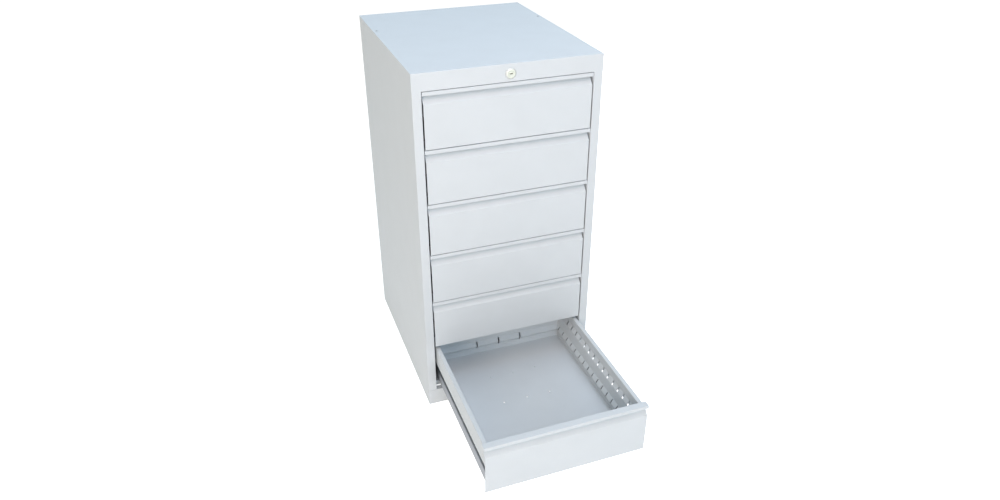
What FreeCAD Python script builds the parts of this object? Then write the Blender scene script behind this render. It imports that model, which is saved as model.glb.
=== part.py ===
import FreeCAD, Part
import math
import os

# Microscope slide cabinet: a floor-standing steel cabinet with a column of slide drawers.
# Frame: X to the right, Y to the back, Z up. The origin is on the floor, at the middle of the
# cabinet's footprint. The drawer fronts face -Y. Lengths are in millimetres, angles in degrees.

os.makedirs("parts", exist_ok=True)
Vector = FreeCAD.Vector

# Carcass
cabinet_width = 500.0
cabinet_depth = 600.0
plinth_height = 50.0
top_rail_height = 45.0
stile_width = 24.0
shell_sheet = 1.0  # carcass and drawer front sheet
bend_radius = 0.5  # inside radius of every bend
return_depth = 20.0  # folded edges round the drawer opening
back_flange = 20.0
top_back_flange = 15.0
plinth_flange = 25.0
plinth_front_flange = 16.0
seam = 0.5  # open joint between the plinth and the stiles
shell_gap = 0.6  # between a sheet's edge and the inside of a bend
bottom_panel_rise = 14.0  # bottom panel's top face above the plinth
bottom_panel_gap = 1.0  # behind the closed drawer front
top_hole_radius = 3.5
top_hole_inset = 10.0  # from the cabinet's side
top_hole_setback = 410.0  # from the cabinet's front

# Drawers
drawer_count = 6
drawer_pitch = 150.0
front_gap = 2.0  # between one front and the next
base_gap = 5.0  # between the lowest front and the plinth
front_side_gap = 3.5
lip_side_gap = 1.5
rear_space = 80.0  # behind the closed drawer bodies
kept_in = 95.0  # length of a drawn-out drawer that stays inside the cabinet
front_depth = 20.0
lip_height = 10.0
grip_depth = 17.0  # finger recess under the lip
grip_back_top = 12.0  # below the front's top edge: where the slope meets the recess's back
grip_knee = 32.0  # below the front's top edge: where the slope leaves the front face
grip_wall_gap = 1.5  # between the recess and the edge of the drawer's walls
front_hem = 12.0
front_foot = 4.0  # fold at the front's lower edge
tub_sheet = 1.0
rim_drop = 8.0  # rim below the front's top edge
rim_width = 12.0
skirt_height = 58.0
step_top = 34.0  # below the front's top edge
step_height = 14.0
step_in = 7.0
floor_drop = 127.0  # floor's top face below the front's top edge
tray_flange = 17.0
back_rim = 12.0
bead_depth = 8.0  # of the bead round the walls and the back, into the drawer
bead_height = 26.0
edge_gap = 0.6  # between the edges of two sheets that meet in a corner
slot_pitch = 30.0
slot_inset = 37.0  # first slot of the wall's step behind the front face
step_slot = (5.5, 14.0)  # width and height of the slots across the wall's step
bead_slot = (4.0, 24.0)  # the same across the bead, half a pitch further back
across_pitch = 70.0  # between the three slots of the back, and between floor holes
floor_hole_radius = 2.25
floor_hole_rows = (276.0, 393.0)  # behind the front face

# Ball-bearing runners
runner_sheet = 1.2
skirt_clearance = 1.0  # between the drawer's skirt and the uprights
rail_height = 32.0
rail_drop = 109.5  # rail's middle below the front's top edge
rail_seam = 0.5  # open joint along the rail's face on the drawer's wall
rail_gap = 0.6  # between the rail and the screw heads
race_gap = 5.5  # between the rail and the fixed member's flanges
member_reach = 16.0  # depth of the fixed member
member_lip = 4.5
member_setback = 4.0  # fixed member's front end behind the closed drawer front
member_overrun = 24.0  # fixed member's back end behind the closed drawer body
ball_radius = 2.4
balls_per_row = 3
ball_pitch = 22.0
ball_play = 0.3  # between a ball and its hole
cage_sheet = 0.8
cage_length = 64.0
cage_width = 9.0
screw_radius = 2.0
screw_head_radius = 3.6
screw_head_height = 2.0
screw_length = 6.0
hole_play = 0.2

# Uprights
upright_sheet = 1.5
upright_step = 5.0  # uprights stand this far into the opening's width
upright_depth = 40.0
front_upright_setback = 38.0
rear_upright_inset = 4.0  # rear upright's back face to the fixed members' back ends

# Lock
lock_rise = 20.0  # lock's axis above the rail's lower edge
bezel_radius = 14.0
bezel_height = 3.0
bezel_rounding = 1.0
barrel_radius = 9.5
barrel_length = 24.0
barrel_play = 0.1
plug_radius = 7.0
plug_play = 0.1
plug_sink = 0.4
keyway = (9.0, 2.0, 14.0)  # width, height, depth
nut_flats = 24.0
nut_height = 4.0
cam_sheet = 2.0
cam_hub_radius = 8.0
cam_end_radius = 4.5
cam_throw = 8.0  # lock's axis to the drive pin
lock_turn = 90.0
drive_pin_radius = 2.5
slot_play = 0.6
cam_screw_radius = 3.5
bar_sheet = 2.0
transfer_bar_height = 28.0
transfer_bar_setback = 31.0
transfer_bar_overrun = 8.0  # past the drive pin at one end and the lift pin at the other
lock_bar_setback = 24.0
lock_bar_width = 16.0
lift_pin_inset = 3.0  # lift pin from the lock bar's inner edge
pin_overrun = 1.0
finger_height = 8.0
finger_reach = 5.0
finger_drop = 50.0  # striker's centre below the front's top edge
striker_sheet = 1.5
striker_reach = 4.0
striker_foot = 8.5
striker_play = 2.5  # between a locked finger and its striker
guide_play = 0.5
guide_wall = 3.0
guide_inner_wall = 1.5  # between the lock bar and the drawers
guide_height = 14.0
guide_drop = 110.0  # lock bar guides below the front's top edge
guide_count = 3  # lock bar guides, from the top drawer to the lowest
transfer_guide_width = 10.0
transfer_guide_places = (0.27, 0.8)  # shares of the transfer bar's way to the lock bar

# Worked out from the above
half_width = cabinet_width / 2
front_y = -cabinet_depth / 2
back_y = cabinet_depth / 2
cabinet_height = plinth_height + base_gap + drawer_count * drawer_pitch + top_rail_height
rail_bottom = cabinet_height - top_rail_height
shell_inside = half_width - shell_sheet
under_top = cabinet_height - shell_sheet
opening_half = half_width - stile_width
front_height = drawer_pitch - front_gap
front_half = opening_half - front_side_gap
lip_half = opening_half - lip_side_gap
upright_inside = opening_half - upright_step
bottom_panel_top = plinth_height + bottom_panel_rise

skirt_x = upright_inside - skirt_clearance
wall_upper_x = skirt_x - rim_width
wall_lower_x = wall_upper_x - step_in
bead_x = wall_lower_x - bead_depth
rail_x = wall_lower_x + tub_sheet
rail_outer_x = upright_inside - runner_sheet - screw_head_height - rail_gap
member_x = upright_inside - member_reach
body_front_y = front_y + front_depth
body_back_y = back_y - rear_space
drawer_travel = cabinet_depth - rear_space - kept_in
skin_back_y = front_y + shell_sheet
ball_row = (rail_height + race_gap) / 2
member_front_y = body_front_y + member_setback
member_back_y = body_back_y + member_overrun
rail_back_y = body_back_y - tub_sheet
ball_x = (member_x + runner_sheet + rail_outer_x) / 2
overlap_middle = (member_front_y + rail_back_y - drawer_travel) / 2
cage_middle_y = overlap_middle + drawer_travel / 2
front_upright_y = front_y + front_upright_setback
rear_upright_y = member_back_y - rear_upright_inset - upright_depth
upright_middles = (front_upright_y + upright_depth / 2, rear_upright_y + upright_depth / 2)

lock_z = rail_bottom + lock_rise
pin_swing = cam_throw * math.sin(math.radians(lock_turn / 2))
pin_height = cam_throw * math.cos(math.radians(lock_turn / 2))
bar_travel = 2 * pin_swing
barrel_back_y = front_y + barrel_length
cam_back_y = barrel_back_y + plug_sink + cam_sheet
transfer_bar_y = front_y + transfer_bar_setback
lock_bar_y = front_y + lock_bar_setback
lock_bar_x = opening_half
lift_pin_x = lock_bar_x + lift_pin_inset
transfer_bar_z = lock_z + (pin_height + cam_throw) / 2
lift_pin_z = transfer_bar_z + bar_travel / 2
striker_y = lock_bar_y + bar_sheet + striker_play
guide_step = (drawer_count - 1) / (guide_count - 1)
guided_drawers = [1 + round(index * guide_step) for index in range(guide_count)]


def front_top(number):
    """Height of the top edge of a drawer's front; drawer 1 is the top one."""
    return rail_bottom - front_gap - (number - 1) * drawer_pitch


def at_rest(number, share=1.0):
    """Shift of a drawer's pieces at rest: only the lowest drawer stands open."""
    if number == drawer_count:
        return Vector(0, -drawer_travel * share, 0)
    return Vector(0, 0, 0)


# Shapes


def box(x, y, z):
    """Block between two X, two Y and two Z values."""
    return Part.makeBox(x[1] - x[0], y[1] - y[0], z[1] - z[0], Vector(x[0], y[0], z[0]))


def rod(radius, start, end):
    """Cylinder between two points."""
    direction = end - start
    return Part.makeCylinder(radius, direction.Length, start, direction)


def point_in(plane, a, b, level):
    """Point with coordinates a and b in a plane such as YZ, at a level along the third axis."""
    if plane == "XY":
        return Vector(a, b, level)
    if plane == "XZ":
        return Vector(a, level, b)
    return Vector(level, a, b)


def extruded(edges, plane, start, end):
    """Solid between two levels from the edges of its outline in the plane at the first level."""
    face = Part.Face(Part.Wire(edges))
    return face.extrude(point_in(plane, 0, 0, end - start))


def prism(points, plane, start, end):
    """Straight-sided solid from the corners of its outline."""
    corners = [point_in(plane, a, b, start) for a, b in points]
    sides = [Part.LineSegment(p, q).toShape() for p, q in zip(corners, corners[1:] + corners[:1])]
    return extruded(sides, plane, start, end)


def heading(p, q):
    """Unit direction from one plane point to another."""
    length = math.hypot(q[0] - p[0], q[1] - p[1])
    return ((q[0] - p[0]) / length, (q[1] - p[1]) / length)


def left_of(direction):
    return (-direction[1], direction[0])


def moved(point, direction, distance):
    return (point[0] + direction[0] * distance, point[1] + direction[1] * distance)


def sheet_faces(path, thickness):
    """The two faces of a bent sheet, each a list of straight runs and arcs as point tuples.

    The near face follows the path and the metal lies to its left.
    """
    first_side = left_of(heading(path[0], path[1]))
    last_side = left_of(heading(path[-2], path[-1]))
    faces = []
    for offset in (0.0, thickness):
        here = moved(path[0], first_side, offset)
        pieces = []
        for before, corner, after in zip(path, path[1:], path[2:]):
            arriving = heading(before, corner)
            leaving = heading(corner, after)
            turn = arriving[0] * leaving[1] - arriving[1] * leaving[0]
            side = 1 if turn > 0 else -1
            half_angle = math.acos(arriving[0] * leaving[0] + arriving[1] * leaving[1]) / 2
            near_radius = bend_radius + (thickness if side > 0 else 0.0)
            radius = near_radius - side * offset
            start = moved(corner, arriving, -near_radius * math.tan(half_angle))
            centre = moved(start, left_of(arriving), side * near_radius)
            bisector = heading((0, 0), moved(left_of(arriving), left_of(leaving), 1.0))
            arc_start = moved(centre, left_of(arriving), -side * radius)
            arc_middle = moved(centre, bisector, -side * radius)
            arc_end = moved(centre, left_of(leaving), -side * radius)
            pieces.append((here, arc_start))
            pieces.append((arc_start, arc_middle, arc_end))
            here = arc_end
        pieces.append((here, moved(path[-1], last_side, offset)))
        faces.append(pieces)
    return faces


def edge_in(plane, piece, level):
    """Line through two plane points, or arc through three."""
    points = [point_in(plane, a, b, level) for a, b in piece]
    if len(points) == 2:
        return Part.LineSegment(*points).toShape()
    return Part.Arc(*points).toShape()


def bent_sheet(path, thickness, plane, start, end):
    """Bent sheet whose near face follows the path, with its metal to the left of it."""
    near, far = sheet_faces(path, thickness)
    outline = near + [(near[-1][-1], far[-1][-1])]
    outline += [piece[::-1] for piece in far[::-1]] + [(far[0][0], near[0][0])]
    return extruded([edge_in(plane, piece, start) for piece in outline], plane, start, end)


def end_plate(path, thickness, plane, start, end):
    """Flat plate with the outline of a bent sheet's near face, closed by a straight edge."""
    near = sheet_faces(path, thickness)[0]
    outline = near + [(near[-1][-1], near[0][0])]
    return extruded([edge_in(plane, piece, start) for piece in outline], plane, start, end)


def joined(shapes):
    return shapes[0].fuse(shapes[1:]).removeSplitter()


def mirrored(shape):
    """The same piece for the other side of the cabinet."""
    return shape.mirror(Vector(0, 0, 0), Vector(1, 0, 0))


def both_sides(shape):
    return [shape, mirrored(shape)]


def save(node, shapes):
    """Write the solids of one sub-part to its STEP file."""
    solids = [solid for shape in shapes for solid in shape.Solids]
    Part.Compound(solids).exportStep("parts/" + node + ".step")


# Carcass pieces


def right_side_panel():
    """Side wall with the stile, its return into the opening and a flange at the back."""
    wall = [
        (half_width, front_y + shell_sheet),
        (half_width, back_y),
        (half_width - back_flange, back_y),
    ]
    stile = [
        (opening_half, front_y + return_depth),
        (opening_half, front_y),
        (half_width, front_y),
        (half_width, front_y + return_depth),
    ]
    return joined(
        [
            bent_sheet(wall, shell_sheet, "XY", 0.0, under_top),
            bent_sheet(stile, shell_sheet, "XY", plinth_height + seam, rail_bottom),
        ]
    )


def top_panel():
    """Top sheet folded down into the front rail, with the lock's hole and two bolt holes."""
    sheet = [(back_y, cabinet_height), (front_y, cabinet_height), (front_y, rail_bottom)]
    rail = sheet + [(front_y + return_depth, rail_bottom)]
    flange_half = half_width - back_flange - shell_gap
    panel = joined(
        [
            bent_sheet(sheet, shell_sheet, "YZ", -half_width, half_width),
            bent_sheet(rail, shell_sheet, "YZ", -opening_half, opening_half),
            box(
                (-flange_half, flange_half),
                (back_y - shell_sheet, back_y),
                (cabinet_height - top_back_flange, under_top),
            ),
        ]
    )
    lock_hole = rod(
        barrel_radius + barrel_play,
        Vector(0, front_y - shell_sheet, lock_z),
        Vector(0, front_y + 2 * shell_sheet, lock_z),
    )
    bolt_hole = rod(
        top_hole_radius,
        Vector(half_width - top_hole_inset, front_y + top_hole_setback, under_top - shell_sheet),
        Vector(half_width - top_hole_inset, front_y + top_hole_setback, cabinet_height + shell_sheet),
    )
    return panel.cut([lock_hole] + both_sides(bolt_hole))


def back_panel():
    half = shell_inside - shell_gap
    return box(
        (-half, half),
        (back_y - 2 * shell_sheet, back_y - shell_sheet),
        (plinth_height, under_top - shell_gap),
    )


def bottom_panel():
    """Sheet under the lowest drawer, folded down at front and back onto the plinth's flanges."""
    half = shell_inside - shell_gap
    panel_back = back_y - 2 * shell_sheet - shell_gap
    panel_front = body_front_y + bottom_panel_gap
    profile = [
        (panel_back, plinth_height),
        (panel_back, bottom_panel_top),
        (panel_front, bottom_panel_top),
        (panel_front, plinth_height),
    ]
    return bent_sheet(profile, shell_sheet, "YZ", -half, half)


def plinth_frame():
    """Welded ring of channels; its lower flanges are the foot of the cabinet."""
    half = shell_inside - shell_gap
    rear = back_y - shell_sheet
    ring = box((-half, half), (front_y, rear), (0.0, plinth_height))
    hollow = box(
        (-half + shell_sheet, half - shell_sheet),
        (front_y + shell_sheet, rear - shell_sheet),
        (shell_sheet, plinth_height - shell_sheet),
    )
    inner_half = half - plinth_flange
    well = box(
        (-inner_half, inner_half),
        (front_y + plinth_front_flange, rear - plinth_flange),
        (-seam, plinth_height + seam),
    )
    front_plate = box((-half_width, half_width), (front_y, front_y + shell_sheet), (0.0, plinth_height))
    return joined([ring.cut([hollow, well]), front_plate])


def right_upright(start_y):
    """Channel behind the stile or near the back, with a screw hole for each runner."""
    end_y = start_y + upright_depth
    profile = [
        (shell_inside, end_y),
        (upright_inside, end_y),
        (upright_inside, start_y),
        (shell_inside, start_y),
    ]
    channel = bent_sheet(profile, upright_sheet, "XY", bottom_panel_top, under_top)
    middle = start_y + upright_depth / 2
    holes = []
    for number in range(1, drawer_count + 1):
        height = front_top(number) - rail_drop
        inner_end = Vector(upright_inside - upright_sheet, middle, height)
        outer_end = Vector(upright_inside + 2 * upright_sheet, middle, height)
        holes.append(rod(screw_radius + hole_play, inner_end, outer_end))
    return channel.cut(holes)


# Drawer pieces, each in the closed position


def drawer_front(top):
    """Folded front with a full-width lip, capped at its ends, and the finger recess under it."""
    bottom = top - front_height
    grip_back = front_y + grip_depth
    inner_face = front_y + front_depth
    skin = [
        (inner_face, top - front_hem),
        (inner_face, top),
        (front_y, top),
        (front_y, top - lip_height),
        (grip_back, top - lip_height),
        (grip_back, top - grip_back_top),
        (front_y, top - grip_knee),
        (front_y, bottom),
        (front_y + front_foot, bottom),
    ]
    lip = skin[:6]
    sheet = bent_sheet(skin, shell_sheet, "YZ", -front_half, front_half)
    cap = end_plate(lip, shell_sheet, "YZ", front_half - shell_sheet, lip_half)
    return joined([sheet] + both_sides(cap))


def bead(top, face):
    """Corners of the bead in an upright sheet of the tub, from the top down."""
    foot = top - floor_drop - tub_sheet + tray_flange + edge_gap
    return [(face, foot + bead_height), (face - bead_depth, foot + bead_height / 2), (face, foot)]


def slot_cutters(middle_z, size, inset):
    """Row of upright slots along a drawer's right wall, from the first one's inset backwards."""
    last = body_back_y - front_y - bead_depth - 2 * tub_sheet - size[0]
    count = int((last - inset) / slot_pitch) + 1
    cutters = []
    for index in range(count):
        middle_y = front_y + inset + index * slot_pitch
        cutters.append(
            box(
                (bead_x - 2 * tub_sheet, wall_upper_x + 2 * tub_sheet),
                (middle_y - size[0] / 2, middle_y + size[0] / 2),
                (middle_z - size[1] / 2, middle_z + size[1] / 2),
            )
        )
    return cutters


def right_wall(top):
    """Drawer wall from the front's skin back: skirt, flat rim, and a stepped inner wall with a bead."""
    profile = [
        (skirt_x, top - rim_drop - skirt_height),
        (skirt_x, top - rim_drop),
        (wall_upper_x, top - rim_drop),
        (wall_upper_x, top - step_top),
        (wall_lower_x, top - step_top - step_height),
    ]
    profile += bead(top, wall_lower_x) + [(wall_lower_x, top - floor_drop - tub_sheet)]
    wall = bent_sheet(profile, tub_sheet, "XZ", skin_back_y, body_back_y)
    grip_clearance = [
        (front_y, top),
        (body_front_y, top),
        (body_front_y, top - grip_back_top - grip_wall_gap),
        (skin_back_y, top - grip_knee - grip_wall_gap),
        (front_y, top - grip_knee - grip_wall_gap),
    ]
    recess = prism(grip_clearance, "YZ", bead_x, half_width)
    bead_middle = bead(top, wall_lower_x)[1][1]
    step_slots = slot_cutters(top - step_top - step_height / 2, step_slot, slot_inset)
    bead_slots = slot_cutters(bead_middle, bead_slot, slot_inset + slot_pitch / 2)
    return wall.cut([recess] + step_slots + bead_slots)


def striker(top):
    """Angle on the right skirt that the lock bar's finger stops."""
    low = top - finger_drop - finger_height / 2
    high = top - finger_drop + finger_height / 2
    tooth = box((skirt_x, skirt_x + striker_reach), (striker_y, striker_y + striker_sheet), (low, high))
    foot_x = skirt_x + skirt_clearance - seam / 2
    foot = box((skirt_x, foot_x), (striker_y, striker_y + striker_foot), (low, high))
    return joined([tooth, foot])


def floor_tray(top):
    """Drawer floor with low side and back flanges and a full-height wall behind the front."""
    floor_top = top - floor_drop
    underside = floor_top - tub_sheet
    back = body_back_y - tub_sheet
    floor = box((-wall_lower_x, wall_lower_x), (body_front_y, back), (underside, floor_top))
    side = box(
        (wall_lower_x - tub_sheet, wall_lower_x),
        (body_front_y, back),
        (underside, underside + tray_flange),
    )
    rear = box(
        (-wall_lower_x, wall_lower_x), (back - tub_sheet, back), (underside, underside + tray_flange)
    )
    foot = box(
        (-wall_lower_x, wall_lower_x),
        (body_front_y, body_front_y + tub_sheet),
        (underside, underside + tray_flange),
    )
    front = box(
        (-bead_x + edge_gap, bead_x - edge_gap),
        (body_front_y, body_front_y + tub_sheet),
        (underside, top - rim_drop),
    )
    tray = joined([floor, rear, foot, front] + both_sides(side))
    holes = []
    for setback in floor_hole_rows:
        for column in (-1, 0, 1):
            place = Vector(column * across_pitch, front_y + setback, underside - tub_sheet)
            holes.append(rod(floor_hole_radius, place, place + Vector(0, 0, 3 * tub_sheet)))
    return tray.cut(holes)


def drawer_back(top):
    """Back sheet with the bead, three slots across it and a rim folded backwards."""
    inner = body_back_y - tub_sheet
    profile = [(inner + back_rim, top - rim_drop), (inner, top - rim_drop)]
    profile += bead(top, inner) + [(inner, top - floor_drop - tub_sheet)]
    sheet = bent_sheet(profile, tub_sheet, "YZ", -wall_upper_x, wall_upper_x)
    lower_half = wall_lower_x - edge_gap
    upper_half = wall_upper_x - edge_gap
    outline = [(upper_half, top), (upper_half, top - step_top)]
    outline += [(lower_half, top - step_top - step_height)] + bead(top, lower_half)
    outline += [(lower_half, top - floor_drop - 2 * tub_sheet)]
    outline += [(-x, z) for x, z in outline[::-1]]
    blank = prism(outline, "XZ", inner - 2 * bead_depth, inner + 2 * back_rim)
    bead_middle = bead(top, inner)[1][1]
    slots = []
    for column in (-1, 0, 1):
        middle = column * across_pitch
        slots.append(
            box(
                (middle - bead_slot[0] / 2, middle + bead_slot[0] / 2),
                (inner - 2 * bead_depth, inner + 2 * tub_sheet),
                (bead_middle - bead_slot[1] / 2, bead_middle + bead_slot[1] / 2),
            )
        )
    return sheet.common(blank).cut(slots)


def right_rail(top):
    """Moving member of the runner: a closed rail on the drawer's wall, up to the front's skin."""
    centre = top - rail_drop
    half = rail_height / 2
    profile = [
        (rail_x, centre - rail_seam / 2),
        (rail_x, centre - half),
        (rail_outer_x, centre - half),
        (rail_outer_x, centre + half),
        (rail_x, centre + half),
        (rail_x, centre + rail_seam / 2),
    ]
    return bent_sheet(profile, runner_sheet, "XZ", skin_back_y, rail_back_y)


def right_member(top):
    """Fixed member of the runner: a lipped channel round the rail, screwed to the two uprights."""
    centre = top - rail_drop
    half = rail_height / 2 + race_gap + runner_sheet
    profile = [
        (member_x, centre - half + member_lip),
        (member_x, centre - half),
        (upright_inside, centre - half),
        (upright_inside, centre + half),
        (member_x, centre + half),
        (member_x, centre + half - member_lip),
    ]
    member = bent_sheet(profile, runner_sheet, "XZ", member_front_y, member_back_y)
    holes = []
    for middle in upright_middles:
        start = Vector(upright_inside - 2 * runner_sheet, middle, centre)
        holes.append(rod(screw_radius + hole_play, start, start + Vector(3 * runner_sheet, 0, 0)))
    return member.cut(holes)


def right_screws(top):
    """Pan-head screws that hold the fixed member."""
    centre = top - rail_drop
    web_face = upright_inside - runner_sheet
    screws = []
    for middle in upright_middles:
        seat = Vector(web_face, middle, centre)
        head = rod(screw_head_radius, seat - Vector(screw_head_height, 0, 0), seat)
        shank = rod(screw_radius, seat, seat + Vector(screw_length, 0, 0))
        screws.append(joined([head, shank]))
    return screws


def right_cage(top):
    """Flat ball cages above and below the rail, and their balls."""
    pieces = []
    for row in (-1, 1):
        level = top - rail_drop + row * ball_row
        strip = box(
            (ball_x - cage_width / 2, ball_x + cage_width / 2),
            (cage_middle_y - cage_length / 2, cage_middle_y + cage_length / 2),
            (level - cage_sheet / 2, level + cage_sheet / 2),
        )
        for index in range(balls_per_row):
            ball_y = cage_middle_y + (index - (balls_per_row - 1) / 2) * ball_pitch
            middle = Vector(ball_x, ball_y, level)
            reach = Vector(0, 0, cage_sheet)
            strip = strip.cut(rod(ball_radius + ball_play, middle - reach, middle + reach))
            pieces.append(Part.makeSphere(ball_radius, middle))
        pieces.append(strip)
    return pieces


# Lock pieces


def lock_housing():
    """Round bezel and threaded barrel through the front rail, bored for the plug."""
    face = Vector(0, front_y - bezel_height, lock_z)
    seat = Vector(0, front_y, lock_z)
    bezel = rod(bezel_radius, face, seat)
    rim = [edge for edge in bezel.Edges if edge.isClosed() and edge.BoundBox.YMax < seat.y]
    bezel = bezel.makeFillet(bezel_rounding, rim)
    barrel = rod(barrel_radius, seat, Vector(0, barrel_back_y, lock_z))
    bore = rod(
        plug_radius + plug_play, face - Vector(0, bezel_height, 0), Vector(0, cam_back_y, lock_z)
    )
    return joined([bezel, barrel]).cut(bore)


def lock_nut():
    """Hexagon nut that clamps the barrel behind the rail."""
    corner_radius = nut_flats / 2 / math.cos(math.radians(30))
    corners = []
    for index in range(6):
        angle = math.radians(60 * index)
        corners.append((corner_radius * math.cos(angle), lock_z + corner_radius * math.sin(angle)))
    inner_face = front_y + shell_sheet
    hexagon = prism(corners, "XZ", inner_face, inner_face + nut_height)
    bore = rod(
        barrel_radius + barrel_play,
        Vector(0, inner_face - nut_height, lock_z),
        Vector(0, inner_face + 2 * nut_height, lock_z),
    )
    return hexagon.cut(bore)


def lock_plug():
    """Turning plug with the keyway in its face."""
    face_y = front_y - bezel_height + plug_sink
    plug = rod(plug_radius, Vector(0, face_y, lock_z), Vector(0, barrel_back_y + plug_sink, lock_z))
    width, height, depth = keyway
    slot = box(
        (-width / 2, width / 2),
        (front_y - bezel_height, face_y + depth),
        (lock_z - height / 2, lock_z + height / 2),
    )
    return plug.cut(slot)


def lock_cam():
    """Cam on the plug's back end, with the drive pin at its tip."""
    front = barrel_back_y + plug_sink
    pin_x = -pin_swing
    pin_z = lock_z + pin_height
    hub = rod(cam_hub_radius, Vector(0, front, lock_z), Vector(0, cam_back_y, lock_z))
    end = rod(cam_end_radius, Vector(pin_x, front, pin_z), Vector(pin_x, cam_back_y, pin_z))
    pin_end = transfer_bar_y + bar_sheet + pin_overrun
    pin = rod(drive_pin_radius, Vector(pin_x, front, pin_z), Vector(pin_x, pin_end, pin_z))
    return joined([hub, end, pin])


def cam_screw():
    seat = Vector(0, cam_back_y, lock_z)
    return rod(cam_screw_radius, seat, seat + Vector(0, screw_head_height, 0))


def slot_between(radius, start, end):
    """Cutter for a round-ended slot through the transfer bar, between two X, Z points."""
    front = transfer_bar_y - bar_sheet
    back = transfer_bar_y + 2 * bar_sheet
    side = left_of(heading(start, end))
    corners = [moved(start, side, radius), moved(end, side, radius)]
    corners += [moved(end, side, -radius), moved(start, side, -radius)]
    ends = [rod(radius, Vector(x, front, z), Vector(x, back, z)) for x, z in (start, end)]
    return joined([prism(corners, "XZ", front, back)] + ends)


def transfer_bar():
    """Bar behind the rail: the cam pushes it sideways and its sloping slot lowers the lock bar."""
    slot_radius = drive_pin_radius + slot_play
    half = transfer_bar_height / 2
    bar = box(
        (-pin_swing - transfer_bar_overrun, lift_pin_x + transfer_bar_overrun - slot_play),
        (transfer_bar_y, transfer_bar_y + bar_sheet),
        (transfer_bar_z - half, transfer_bar_z + half),
    )
    upright_slot = slot_between(
        slot_radius,
        (-pin_swing, lock_z + pin_height - slot_play),
        (-pin_swing, lock_z + cam_throw + slot_play),
    )
    sloping_slot = slot_between(
        slot_radius,
        (lift_pin_x, lift_pin_z),
        (lift_pin_x - bar_travel, lift_pin_z - bar_travel),
    )
    return bar.cut([upright_slot, sloping_slot])


def lock_bar():
    """Upright bar inside the right stile, with the lift pin at its top."""
    foot = front_top(drawer_count) - guide_drop - guide_height
    bar = box(
        (lock_bar_x, lock_bar_x + lock_bar_width),
        (lock_bar_y, lock_bar_y + bar_sheet),
        (foot, lift_pin_z + drive_pin_radius + pin_overrun),
    )
    pin_end = transfer_bar_y + bar_sheet + pin_overrun
    pin = rod(
        drive_pin_radius, Vector(lift_pin_x, lock_bar_y, lift_pin_z), Vector(lift_pin_x, pin_end, lift_pin_z)
    )
    return joined([bar, pin])


def lock_finger(top):
    """Finger on the lock bar, which drops in front of the drawer's striker."""
    middle = top - finger_drop + bar_travel
    return box(
        (lock_bar_x - finger_reach, lock_bar_x),
        (lock_bar_y, lock_bar_y + bar_sheet),
        (middle - finger_height / 2, middle + finger_height / 2),
    )


def lock_bar_guide(top):
    """Block between the side panel and the upright that the lock bar slides through."""
    middle = top - guide_drop
    low = middle - guide_height / 2
    high = middle + guide_height / 2
    front = lock_bar_y - guide_play - guide_wall
    inner = lock_bar_x - guide_play - guide_inner_wall
    block = box((inner, shell_inside), (front, front_upright_y), (low, high))
    window = box(
        (lock_bar_x - guide_play, lock_bar_x + lock_bar_width + guide_play),
        (lock_bar_y - guide_play, lock_bar_y + bar_sheet + guide_play),
        (low - guide_play, high + guide_play),
    )
    return block.cut(window)


def transfer_bar_guide(middle):
    """Hanger under the top panel that the transfer bar slides through."""
    half = transfer_bar_height / 2 + guide_play
    low = transfer_bar_z - half - guide_wall
    front = transfer_bar_y - guide_play
    back = transfer_bar_y + bar_sheet + guide_play
    span = (middle - transfer_guide_width / 2, middle + transfer_guide_width / 2)
    block = box(span, (front - guide_wall, back + guide_wall), (low, under_top))
    window = box(
        (span[0] - guide_play, span[1] + guide_play),
        (front, back),
        (transfer_bar_z - half, transfer_bar_z + half),
    )
    return block.cut(window)


# The assembly

side_panel = right_side_panel()
save("right_side_panel", [side_panel])
save("left_side_panel", [mirrored(side_panel)])
save("top_panel", [top_panel()])
save("back_panel", [back_panel()])
save("bottom_panel", [bottom_panel()])
save("plinth_frame", [plinth_frame()])

front_upright = right_upright(front_upright_y)
rear_upright = right_upright(rear_upright_y)
save("right_front_upright", [front_upright])
save("left_front_upright", [mirrored(front_upright)])
save("right_rear_upright", [rear_upright])
save("left_rear_upright", [mirrored(rear_upright)])

members = []
screws = []
fingers = []
for number in range(1, drawer_count + 1):
    top = front_top(number)
    shift = at_rest(number)
    name = "drawer_" + str(number) + "_"
    walls = both_sides(right_wall(top)) + [striker(top)]
    cages = right_cage(top)
    cages = cages + [mirrored(piece) for piece in cages]
    moving = {
        "front": [drawer_front(top)],
        "side_walls": walls,
        "floor_tray": [floor_tray(top)],
        "back": [drawer_back(top)],
        "runners": both_sides(right_rail(top)),
    }
    for node, shapes in moving.items():
        save(name + node, [shape.translated(shift) for shape in shapes])
    save(name + "ball_cages", [piece.translated(at_rest(number, 0.5)) for piece in cages])
    members.append(right_member(top))
    for screw in right_screws(top):
        screws += both_sides(screw)
    fingers.append(lock_finger(top))
save("right_cabinet_runners", members)
save("left_cabinet_runners", [mirrored(member) for member in members])
save("runner_screws", screws)

save("lock_housing", [lock_housing()])
save("lock_nut", [lock_nut()])
save("lock_plug", [lock_plug()])
save("lock_cam", [lock_cam()])
save("lock_cam_screw", [cam_screw()])
save("transfer_bar", [transfer_bar()])
save("lock_bar", [lock_bar()])
save("lock_fingers", fingers)
save("lock_bar_guides", [lock_bar_guide(front_top(number)) for number in guided_drawers])
save("transfer_bar_guides", [transfer_bar_guide(lift_pin_x * share) for share in transfer_guide_places])
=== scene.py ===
import math

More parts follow.
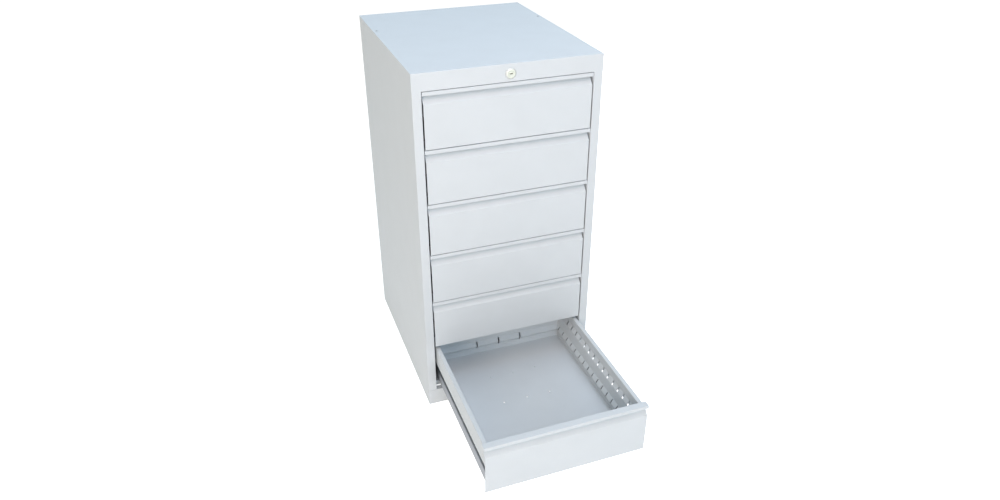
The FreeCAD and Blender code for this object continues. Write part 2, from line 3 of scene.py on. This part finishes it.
import bmesh
import bpy
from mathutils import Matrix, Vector


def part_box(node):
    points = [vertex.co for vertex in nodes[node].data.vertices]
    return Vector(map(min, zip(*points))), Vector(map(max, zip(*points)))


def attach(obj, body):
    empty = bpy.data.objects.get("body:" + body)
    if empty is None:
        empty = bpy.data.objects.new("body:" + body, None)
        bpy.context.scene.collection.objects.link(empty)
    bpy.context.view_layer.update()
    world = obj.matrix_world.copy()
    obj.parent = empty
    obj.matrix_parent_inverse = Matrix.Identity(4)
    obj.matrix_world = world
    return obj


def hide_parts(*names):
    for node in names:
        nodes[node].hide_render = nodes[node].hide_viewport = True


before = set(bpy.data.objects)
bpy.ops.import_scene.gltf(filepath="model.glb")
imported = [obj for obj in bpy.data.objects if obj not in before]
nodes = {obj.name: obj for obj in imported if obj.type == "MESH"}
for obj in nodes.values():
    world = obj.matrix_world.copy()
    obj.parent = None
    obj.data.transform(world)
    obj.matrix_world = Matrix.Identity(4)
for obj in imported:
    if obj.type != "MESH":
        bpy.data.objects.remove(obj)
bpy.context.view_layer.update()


# Carcass: side panels, top with its front rail, back panel and plinth ring.
# Folded 1 mm steel sheet, spot-welded together and then powder coated in one pale grey. The coat is
# satin, with a fine orange peel, and the large panels keep the faint waves of rolled sheet.
coat_grey = (0.640, 0.676, 0.700)


def powder_coat(name, colour, roughness=0.58):
    """Satin powder coat: faint mottling, orange peel and the slow waves of thin sheet."""
    mottling = 0.015
    roughness_spread = 0.05
    coat = bpy.data.materials.new(name)
    coat.use_nodes = True
    tree = coat.node_tree
    shader = tree.nodes["Principled BSDF"]
    shader.inputs["Specular IOR Level"].default_value = 0.35
    place = tree.nodes.new("ShaderNodeTexCoord")

    mottle = tree.nodes.new("ShaderNodeTexNoise")
    mottle.inputs["Scale"].default_value = 14.0
    mottle.inputs["Detail"].default_value = 5.0
    shades = tree.nodes.new("ShaderNodeValToRGB")
    shades.color_ramp.elements[0].position = 0.3
    shades.color_ramp.elements[1].position = 0.7
    shades.color_ramp.elements[0].color = (*[value * (1 - mottling) for value in colour], 1.0)
    shades.color_ramp.elements[1].color = (*[value * (1 + mottling) for value in colour], 1.0)
    tree.links.new(place.outputs["Object"], mottle.inputs["Vector"])
    tree.links.new(mottle.outputs["Fac"], shades.inputs["Fac"])
    tree.links.new(shades.outputs["Color"], shader.inputs["Base Color"])

    gloss = tree.nodes.new("ShaderNodeMapRange")
    gloss.inputs["To Min"].default_value = roughness - roughness_spread
    gloss.inputs["To Max"].default_value = roughness + roughness_spread
    tree.links.new(mottle.outputs["Fac"], gloss.inputs["Value"])
    tree.links.new(gloss.outputs["Result"], shader.inputs["Roughness"])

    waves = tree.nodes.new("ShaderNodeTexNoise")
    waves.inputs["Scale"].default_value = 4.0
    waves.inputs["Detail"].default_value = 1.0
    wave_bump = tree.nodes.new("ShaderNodeBump")
    wave_bump.inputs["Strength"].default_value = 0.5
    wave_bump.inputs["Distance"].default_value = 0.0012
    peel = tree.nodes.new("ShaderNodeTexNoise")
    peel.inputs["Scale"].default_value = 650.0
    peel.inputs["Detail"].default_value = 2.0
    peel_bump = tree.nodes.new("ShaderNodeBump")
    peel_bump.inputs["Strength"].default_value = 0.25
    peel_bump.inputs["Distance"].default_value = 0.00012
    tree.links.new(place.outputs["Object"], waves.inputs["Vector"])
    tree.links.new(place.outputs["Object"], peel.inputs["Vector"])
    tree.links.new(waves.outputs["Fac"], wave_bump.inputs["Height"])
    tree.links.new(peel.outputs["Fac"], peel_bump.inputs["Height"])
    tree.links.new(wave_bump.outputs["Normal"], peel_bump.inputs["Normal"])
    tree.links.new(peel_bump.outputs["Normal"], shader.inputs["Normal"])
    return coat


def finish_nodes(names, finish):
    for name in names:
        for place in nodes[name].material_slots:
            place.material = finish


shell_coat = powder_coat("shell_coat", coat_grey)
carcass = ["left_side_panel", "right_side_panel", "top_panel", "back_panel", "plinth_frame"]
finish_nodes(carcass, shell_coat)


# Inner frame: four uprights and the bottom panel.
# The same sheet and coat, a little flatter, with painted shade: the grey is darkened to stand in for the
# shade inside the carcass.
inner_painted_shade_grey = [value * 0.92 for value in coat_grey]
inner_coat = powder_coat("inner_coat", inner_painted_shade_grey, roughness=0.66)
uprights = [side + "_" + end + "_upright" for side in ("left", "right") for end in ("front", "rear")]
finish_nodes(uprights + ["bottom_panel"], inner_coat)


# Drawers: fronts, slotted side walls, floor trays and backs.
# Each is folded from 1 mm sheet, spot-welded and run through the same powder line as the carcass. The
# walls, trays and backs come out a little duller than the fronts.
drawer_numbers = range(1, 7)
front_coat = powder_coat("front_coat", coat_grey, roughness=0.55)
tub_grey = [value * 0.98 for value in coat_grey]
tub_coat = powder_coat("tub_coat", tub_grey, roughness=0.6)
for number in drawer_numbers:
    drawer = "drawer_" + str(number)
    finish_nodes([drawer + "_front"], front_coat)
    finish_nodes([drawer + "_side_walls", drawer + "_floor_tray", drawer + "_back"], tub_coat)


# Runners: closed rails on the drawers, which slide in lipped channels on the uprights.
# Roll-formed from zinc-plated strip, so fine drawing lines run along their length.
def drawn_metal(name, colour, along, roughness=0.34):
    """Plated metal with fine drawing lines along one axis and a faint spangle."""
    along_lines = 4.0
    across_lines = 900.0
    smoother = 0.08
    rougher = 0.1
    darkest_spangle = 0.94
    brightest_spangle = 1.05
    metal = bpy.data.materials.new(name)
    metal.use_nodes = True
    tree = metal.node_tree
    shader = tree.nodes["Principled BSDF"]
    shader.inputs["Metallic"].default_value = 1.0
    place = tree.nodes.new("ShaderNodeTexCoord")

    stretch = tree.nodes.new("ShaderNodeMapping")
    stretch.inputs["Scale"].default_value = [
        along_lines if axis == along else across_lines for axis in "XYZ"
    ]
    lines = tree.nodes.new("ShaderNodeTexNoise")
    lines.inputs["Scale"].default_value = 1.0
    lines.inputs["Detail"].default_value = 3.0
    gloss = tree.nodes.new("ShaderNodeMapRange")
    gloss.inputs["To Min"].default_value = roughness - smoother
    gloss.inputs["To Max"].default_value = roughness + rougher
    line_bump = tree.nodes.new("ShaderNodeBump")
    line_bump.inputs["Strength"].default_value = 0.15
    line_bump.inputs["Distance"].default_value = 0.00005
    tree.links.new(place.outputs["Object"], stretch.inputs["Vector"])
    tree.links.new(stretch.outputs["Vector"], lines.inputs["Vector"])
    tree.links.new(lines.outputs["Fac"], gloss.inputs["Value"])
    tree.links.new(gloss.outputs["Result"], shader.inputs["Roughness"])
    tree.links.new(lines.outputs["Fac"], line_bump.inputs["Height"])
    tree.links.new(line_bump.outputs["Normal"], shader.inputs["Normal"])

    spangle = tree.nodes.new("ShaderNodeTexVoronoi")
    spangle.inputs["Scale"].default_value = 90.0
    tints = tree.nodes.new("ShaderNodeValToRGB")
    tints.color_ramp.elements[0].color = (*[value * darkest_spangle for value in colour], 1.0)
    tints.color_ramp.elements[1].color = (*[value * brightest_spangle for value in colour], 1.0)
    tree.links.new(place.outputs["Object"], spangle.inputs["Vector"])
    tree.links.new(spangle.outputs["Color"], tints.inputs["Fac"])
    tree.links.new(tints.outputs["Color"], shader.inputs["Base Color"])
    return metal


runner_zinc = drawn_metal("runner_zinc", (0.31, 0.32, 0.335), along="Y", roughness=0.55)
finish_nodes(["left_cabinet_runners", "right_cabinet_runners"], runner_zinc)
finish_nodes(["drawer_" + str(number) + "_runners" for number in drawer_numbers], runner_zinc)


# Ball cages: flat steel strips above and below each rail that carry hardened balls in round holes.
# The balls are ground and polished, and a film of grease dulls them a little.
ball_steel = drawn_metal("ball_steel", (0.70, 0.71, 0.72), along="Y", roughness=0.2)
finish_nodes(["drawer_" + str(number) + "_ball_cages" for number in drawer_numbers], ball_steel)


# Lock: a turned bezel with a flat face and a shallow flank, its barrel, and the plug with its keyway.
# Die-cast and plated in satin nickel, slightly warm. The flank is rougher, and its colour is darkened as
# painted shade for the shaded ring round the face. The barrel passes through the rail to its nut.
housing_low, housing_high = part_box("lock_housing")
lock_height = (housing_low[2] + housing_high[2]) / 2
face_y = housing_low[1]
bore_radius = 0.0071
face_radius = 0.0108
bezel_radius = 0.014
barrel_radius = 0.0095
bore_bevel = 0.0006
edge_bevel = 0.0004
face_fall = 0.0003
flank_fall = 0.0012
bezel_height = 0.003
seat_y = face_y + bezel_height
barrel_end_y = housing_high[1]
bezel_profile = [
    (bore_radius, barrel_end_y),
    (bore_radius, face_y + bore_bevel),
    (bore_radius + bore_bevel, face_y),
    (face_radius - edge_bevel, face_y),
    (face_radius, face_y + face_fall),
    (bezel_radius - edge_bevel, face_y + flank_fall),
    (bezel_radius, face_y + flank_fall + edge_bevel),
    (bezel_radius, seat_y),
    (barrel_radius, seat_y),
    (barrel_radius, barrel_end_y),
]
turned = bmesh.new()
ring = [turned.verts.new((radius, y, lock_height)) for radius, y in bezel_profile]
outline = [turned.edges.new(ends) for ends in zip(ring, ring[1:] + ring[:1])]
bmesh.ops.spin(
    turned,
    geom=ring + outline,
    cent=(0.0, 0.0, lock_height),
    axis=(0.0, 1.0, 0.0),
    angle=math.tau,
    steps=96,
    use_merge=True,
)
bmesh.ops.remove_doubles(turned, verts=turned.verts, dist=1e-7)
bmesh.ops.recalc_face_normals(turned, faces=turned.faces)
# Painted shade: facets outside the face radius take the darker flank nickel.
for facet in turned.faces:
    middle = facet.calc_center_median()
    facet.material_index = int(math.hypot(middle.x, middle.z - lock_height) > face_radius)
bezel_mesh = bpy.data.meshes.new("lock_bezel")
turned.to_mesh(bezel_mesh)
turned.free()
bezel_mesh.shade_smooth()
bezel_mesh.set_sharp_from_angle(angle=math.radians(25.0))
lock_bezel = bpy.data.objects.new("lock_bezel", bezel_mesh)
bpy.context.scene.collection.objects.link(lock_bezel)
lock_nickel = drawn_metal("lock_nickel", (0.66, 0.68, 0.60), along="X", roughness=0.5)
# Painted shade: the flank's nickel is darker than the face's, for the shaded ring round the face.
shaded_flank_nickel = drawn_metal("shaded_flank_nickel", (0.56, 0.57, 0.55), along="X", roughness=0.62)
bezel_mesh.materials.append(lock_nickel)
bezel_mesh.materials.append(shaded_flank_nickel)
finish_nodes(["lock_plug"], lock_nickel)
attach(lock_bezel, "cabinet")
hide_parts("lock_housing")


# Lock linkage: nut, cam and its screw, transfer bar, lock bar and its fingers, with the runners' screws.
# Punched from zinc-plated strip or turned, and held by screws and shouldered pins.
linkage_zinc = drawn_metal("linkage_zinc", (0.52, 0.53, 0.54), along="Z")
finish_nodes(["lock_nut", "lock_cam", "lock_cam_screw", "runner_screws"], linkage_zinc)
finish_nodes(["transfer_bar", "lock_bar", "lock_fingers"], linkage_zinc)


# Guides of the lock bar and the transfer bar: small blocks moulded in dark acetal.
# Snapped into the carcass, they wear to a soft sheen where the bars slide.
def moulded_acetal(name, colour):
    """Smooth dark plastic with the fine grain of its mould."""
    grain_contrast = 0.2
    acetal = bpy.data.materials.new(name)
    acetal.use_nodes = True
    tree = acetal.node_tree
    shader = tree.nodes["Principled BSDF"]
    place = tree.nodes.new("ShaderNodeTexCoord")
    grain = tree.nodes.new("ShaderNodeTexNoise")
    grain.inputs["Scale"].default_value = 500.0
    tones = tree.nodes.new("ShaderNodeValToRGB")
    tones.color_ramp.elements[0].color = (*[value * (1 - grain_contrast) for value in colour], 1.0)
    tones.color_ramp.elements[1].color = (*[value * (1 + grain_contrast) for value in colour], 1.0)
    gloss = tree.nodes.new("ShaderNodeMapRange")
    gloss.inputs["To Min"].default_value = 0.35
    gloss.inputs["To Max"].default_value = 0.5
    tree.links.new(place.outputs["Object"], grain.inputs["Vector"])
    tree.links.new(grain.outputs["Fac"], tones.inputs["Fac"])
    tree.links.new(tones.outputs["Color"], shader.inputs["Base Color"])
    tree.links.new(grain.outputs["Fac"], gloss.inputs["Value"])
    tree.links.new(gloss.outputs["Result"], shader.inputs["Roughness"])
    return acetal


guide_acetal = moulded_acetal("guide_acetal", (0.05, 0.05, 0.055))
finish_nodes(["lock_bar_guides", "transfer_bar_guides"], guide_acetal)


# Floor and background: a white studio sweep. Seen directly or in a reflection it is plain white, and
# it throws a softer light back up on to the cabinet.
floor_size = 30.0
seen_strength = 0.78
bounce_strength = 0.415


def seen_or_mirrored(tree):
    """1 for rays from the camera and for rays off metal or through glass."""
    rays = tree.nodes.new("ShaderNodeLightPath")
    either = tree.nodes.new("ShaderNodeMath")
    either.operation = "MAXIMUM"
    tree.links.new(rays.outputs["Is Camera Ray"], either.inputs[0])
    tree.links.new(rays.outputs["Is Glossy Ray"], either.inputs[1])
    any_of_three = tree.nodes.new("ShaderNodeMath")
    any_of_three.operation = "MAXIMUM"
    tree.links.new(either.outputs["Value"], any_of_three.inputs[0])
    tree.links.new(rays.outputs["Is Transmission Ray"], any_of_three.inputs[1])
    return any_of_three.outputs["Value"]


sweep = bmesh.new()
bmesh.ops.create_grid(sweep, x_segments=1, y_segments=1, size=floor_size / 2)
floor_mesh = bpy.data.meshes.new("studio_floor")
sweep.to_mesh(floor_mesh)
sweep.free()
floor = bpy.data.objects.new("studio_floor", floor_mesh)
bpy.context.scene.collection.objects.link(floor)
floor_paint = bpy.data.materials.new("studio_white")
floor_paint.use_nodes = True
floor_tree = floor_paint.node_tree
floor_shader = floor_tree.nodes["Principled BSDF"]
floor_shader.inputs["Base Color"].default_value = (0.8, 0.8, 0.8, 1.0)
floor_shader.inputs["Roughness"].default_value = 0.9
floor_shader.inputs["Emission Color"].default_value = (1.0, 1.0, 1.0, 1.0)
glow = floor_tree.nodes.new("ShaderNodeMath")
glow.operation = "MULTIPLY_ADD"
glow.inputs[1].default_value = seen_strength - bounce_strength
glow.inputs[2].default_value = bounce_strength
floor_tree.links.new(seen_or_mirrored(floor_tree), glow.inputs[0])
floor_tree.links.new(glow.outputs["Value"], floor_shader.inputs["Emission Strength"])
floor_mesh.materials.append(floor_paint)


# Studio light: an even pale room, a cool softbox overhead and a warm one forward of it, a cool one in
# front, a small warm one to its left, and one behind on the right for the back and the right side.
room_light = (0.275, 0.262, 0.21)
world = bpy.data.worlds.new("studio_room")
bpy.context.scene.world = world
world.use_nodes = True
room_tree = world.node_tree
room = room_tree.nodes["Background"]
room.inputs["Color"].default_value = (*room_light, 1.0)
white = room_tree.nodes.new("ShaderNodeBackground")
white.inputs["Color"].default_value = (1.0, 1.0, 1.0, 1.0)
choose = room_tree.nodes.new("ShaderNodeMixShader")
room_tree.links.new(seen_or_mirrored(room_tree), choose.inputs["Fac"])
room_tree.links.new(room.outputs["Background"], choose.inputs[1])
room_tree.links.new(white.outputs["Background"], choose.inputs[2])
room_tree.links.new(choose.outputs["Shader"], room_tree.nodes["World Output"].inputs["Surface"])


def softbox(name, place, width, power, colour):
    """Square area lamp that looks from its place towards the middle of the cabinet."""
    cabinet_middle = Vector((0.0, -0.1, 0.5))
    lamp = bpy.data.lights.new(name, "AREA")
    lamp.size = width
    lamp.energy = power
    lamp.color = colour
    holder = bpy.data.objects.new(name, lamp)
    bpy.context.scene.collection.objects.link(holder)
    holder.location = place
    holder.rotation_euler = (cabinet_middle - Vector(place)).to_track_quat("-Z", "Y").to_euler()


softbox("overhead_softbox", place=(0.0, 0.2, 3.6), width=3.0, power=51.0, colour=(0.47, 0.73, 1.0))
softbox("forward_softbox", place=(0.0, -2.0, 3.2), width=2.4, power=43.0, colour=(1.0, 0.88, 0.88))
softbox("front_softbox", place=(0.3, -3.6, 2.4), width=1.8, power=30.0, colour=(0.5, 0.75, 1.0))
softbox("left_softbox", place=(-2.4, -3.2, 1.4), width=1.4, power=42.0, colour=(1.0, 0.86, 0.76))
softbox("rear_softbox", place=(2.6, 2.4, 1.0), width=1.8, power=32.0, colour=(0.9, 0.97, 1.0))


# Camera: stands in front of the cabinet, to the left of it and above it, with a wide lens.
camera_place = Vector((-0.6593, -2.0227, 1.5537))
camera_azimuth = math.radians(20.12)
camera_drop = math.radians(30.23)
view_line = Vector(
    (
        math.sin(camera_azimuth) * math.cos(camera_drop),
        math.cos(camera_azimuth) * math.cos(camera_drop),
        -math.sin(camera_drop),
    )
)
lens = bpy.data.cameras.new("camera")
lens.sensor_width = 36.0
lens.lens = 27.95
camera = bpy.data.objects.new("camera", lens)
bpy.context.scene.collection.objects.link(camera)
camera.location = camera_place
camera.rotation_euler = view_line.to_track_quat("-Z", "Y").to_euler()
bpy.context.scene.camera = camera
bpy.context.scene.view_settings.view_transform = "Standard"
